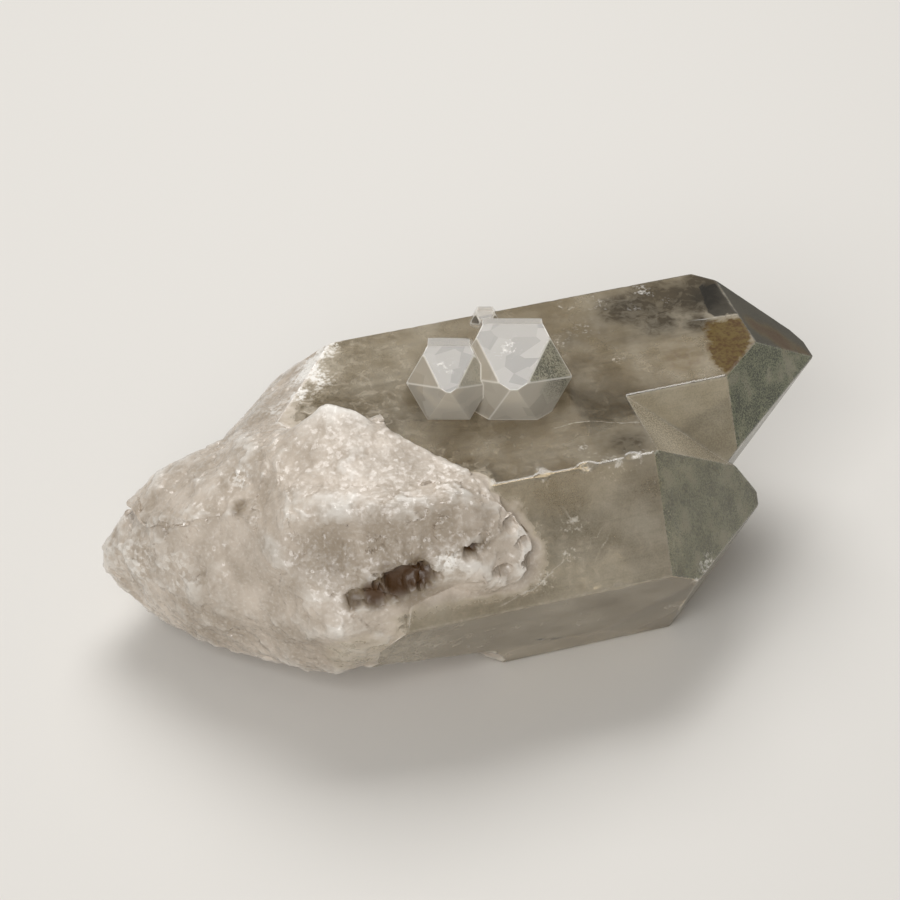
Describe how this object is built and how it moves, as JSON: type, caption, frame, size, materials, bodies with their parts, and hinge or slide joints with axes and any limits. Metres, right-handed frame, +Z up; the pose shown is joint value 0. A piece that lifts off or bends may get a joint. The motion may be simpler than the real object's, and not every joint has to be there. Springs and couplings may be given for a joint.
{
  "type": "lemurian seed quartz crystal cluster",
  "caption": "Clear to smoky quartz points grown side by side on one milky broken end, with small clear crystals on the upper face; lies flat.",
  "frame": {"origin": "middle of the bounding box, on the surface that the cluster lies on", "axes": "+X along the long axis of the two large crystals, towards their points; -Y towards the side that the picture shows; +Z up from the prism faces that it lies on"},
  "size_m": [0.1206, 0.0642, 0.0504],
  "materials": {
    "quartz": "clear to hazy grey-brown crystal faces with a glassy shine, running into opaque milky broken quartz"
  },
  "bodies": {
    "root": {"quartz_cluster": "quartz"}
  },
  "joints": []
}
